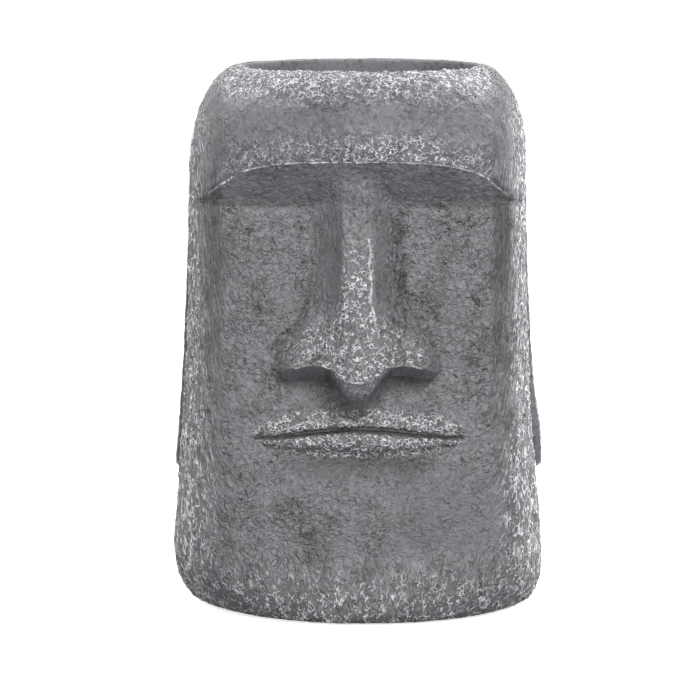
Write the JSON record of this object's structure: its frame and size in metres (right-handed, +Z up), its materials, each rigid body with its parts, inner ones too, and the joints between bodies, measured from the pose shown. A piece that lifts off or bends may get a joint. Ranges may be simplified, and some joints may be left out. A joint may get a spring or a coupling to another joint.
{
  "type": "moai head planter",
  "caption": "Hollow planter cast as a long-faced stone head, open at the crown, with a deep brow, broad nose, thin lips and slab ears.",
  "frame": {"origin": "on the ground, at the centre of the box around the footprint", "axes": "+Z up; the face looks along -Y; +X is on the right of someone who looks at the face"},
  "size_m": [0.2892, 0.2776, 0.415],
  "materials": {
    "cast_stone": "matte cast cement with a crackled skin, pale dry-brushed ridges and grime in the hollows"
  },
  "bodies": {
    "root": {"moai_head_planter": "cast_stone"}
  },
  "joints": []
}
